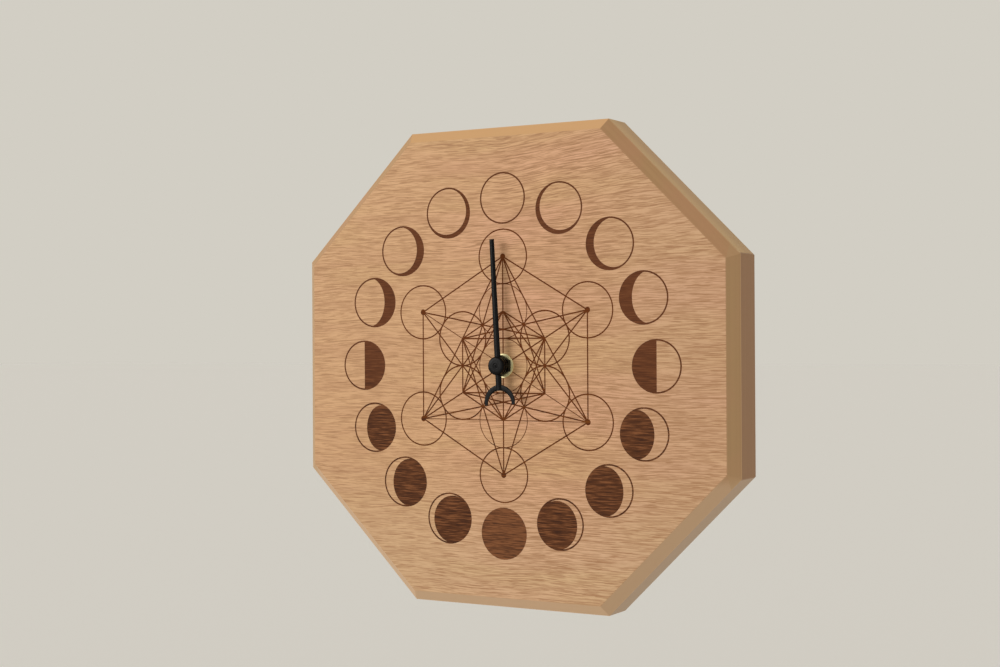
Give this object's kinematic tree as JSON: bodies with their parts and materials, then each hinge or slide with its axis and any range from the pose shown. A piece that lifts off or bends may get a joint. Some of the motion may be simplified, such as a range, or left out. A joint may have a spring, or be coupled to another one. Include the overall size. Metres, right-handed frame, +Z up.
{
  "type": "moon phase wall clock",
  "caption": "Octagonal wooden wall clock engraved with a ring of moons and a figure of circles; one crescent-tailed hand shows the moon's phase.",
  "frame": {"origin": "top of the keyhole's neck in the hanger, on the back face, where the wall's screw bears", "axes": "+X to the right of a viewer facing the dial, +Y into the wall, +Z up"},
  "size_m": [0.2993, 0.0375, 0.2935],
  "materials": {
    "oak": "satin oiled oak",
    "black_hand": "semi-gloss black",
    "black_nut": "semi-gloss black",
    "washer_brass": "bright",
    "bush_brass": "turned",
    "shaft_brass": "turned",
    "black_rubber": "matt",
    "case_black": "fine grained",
    "cover_black": "fine grained",
    "bridge_white": "smooth",
    "wheel_white": "smooth",
    "wheel_green": "smooth",
    "wheel_yellow": "smooth",
    "spring_steel": "bright",
    "screw_steel": "bright",
    "magnet_grey": "dull",
    "stator_steel": "dull",
    "bobbin_plastic": "smooth",
    "copper_wire": "enamelled copper",
    "circuit_green": "gloss",
    "resin_black": "gloss",
    "can_silver": "bright",
    "battery_steel": "bright",
    "sleeve_green": "gloss",
    "contact_nickel": "nickel",
    "hanger_zinc": "zinc plated"
  },
  "bodies": {
    "clock_body": {"clock_board": "oak", "hanger_plate": "hanger_zinc", "hanger_screws": "hanger_zinc", "front_nut": "black_nut", "front_washer": "washer_brass", "rubber_washer": "black_rubber", "threaded_bush": "bush_brass", "front_case": "case_black", "rear_cover": "cover_black", "bridge_plate": "bridge_white", "bridge_screws": "screw_steel", "stator_plate": "stator_steel", "coil_core": "stator_steel", "coil_bobbin": "bobbin_plastic", "coil_winding": "copper_wire", "stator_screws": "screw_steel", "circuit_board": "circuit_green", "clock_chip": "resin_black", "quartz_crystal": "can_silver", "battery_can": "battery_steel", "battery_sleeve": "sleeve_green", "positive_contact": "contact_nickel", "negative_contact": "contact_nickel"},
    "moon_hand": {"hand_blade": "black_hand", "hand_hub": "black_hand", "output_shaft": "shaft_brass", "moon_wheel": "wheel_white"},
    "clutch_shaft": {"clutch_pinion": "wheel_yellow", "clutch_spring": "spring_steel", "clutch_collar": "spring_steel"},
    "setting_shaft": {"setting_pinion": "wheel_white", "setting_knob": "cover_black"},
    "rotor": {"rotor_pinion": "wheel_white", "rotor_magnet": "magnet_grey"},
    "first_arbor": {"first_wheel": "wheel_yellow"},
    "second_arbor": {"second_wheel": "wheel_green"},
    "third_arbor": {"third_wheel": "wheel_white"},
    "clutch_drive": {"clutch_wheel": "wheel_green"}
  },
  "joints": [
    {"name": "hand_turn", "type": "hinge", "parent": "clock_body", "child": "moon_hand", "pos_m": [0, -0.028, -0.112], "axis": [0, 1, 0], "continuous": true},
    {"name": "clutch_shaft_turn", "type": "hinge", "parent": "clock_body", "child": "clutch_shaft", "pos_m": [-0.01065, -0.012, -0.10584], "axis": [0, 1, 0], "continuous": true},
    {"name": "knob_turn", "type": "hinge", "parent": "clock_body", "child": "setting_shaft", "pos_m": [-0.01184, -0.008, -0.11631], "axis": [0, 1, 0], "continuous": true},
    {"name": "rotor_turn", "type": "hinge", "parent": "clock_body", "child": "rotor", "pos_m": [0.0096, -0.006, -0.09985], "axis": [0, 1, 0], "continuous": true},
    {"name": "first_turn", "type": "hinge", "parent": "clock_body", "child": "first_arbor", "pos_m": [0.00283, -0.007, -0.09926], "axis": [0, 1, 0], "continuous": true},
    {"name": "second_turn", "type": "hinge", "parent": "clock_body", "child": "second_arbor", "pos_m": [-0.00454, -0.008, -0.09796], "axis": [0, 1, 0], "continuous": true},
    {"name": "third_turn", "type": "hinge", "parent": "clock_body", "child": "third_arbor", "pos_m": [-0.01202, -0.01, -0.09796], "axis": [0, 1, 0], "continuous": true},
    {"name": "clutch_drive_turn", "type": "hinge", "parent": "clock_body", "child": "clutch_drive", "pos_m": [-0.01065, -0.011, -0.10584], "axis": [0, 1, 0], "continuous": true}
  ],
  "couplings": [
    {"joint": "clutch_shaft_turn", "follows": "hand_turn", "ratio": -7.2},
    {"joint": "knob_turn", "follows": "hand_turn", "ratio": -6},
    {"joint": "first_turn", "follows": "rotor_turn", "ratio": -0.13333},
    {"joint": "second_turn", "follows": "rotor_turn", "ratio": 0.017778},
    {"joint": "third_turn", "follows": "rotor_turn", "ratio": -0.0023704},
    {"joint": "clutch_drive_turn", "follows": "rotor_turn", "ratio": 0.00033862}
  ]
}
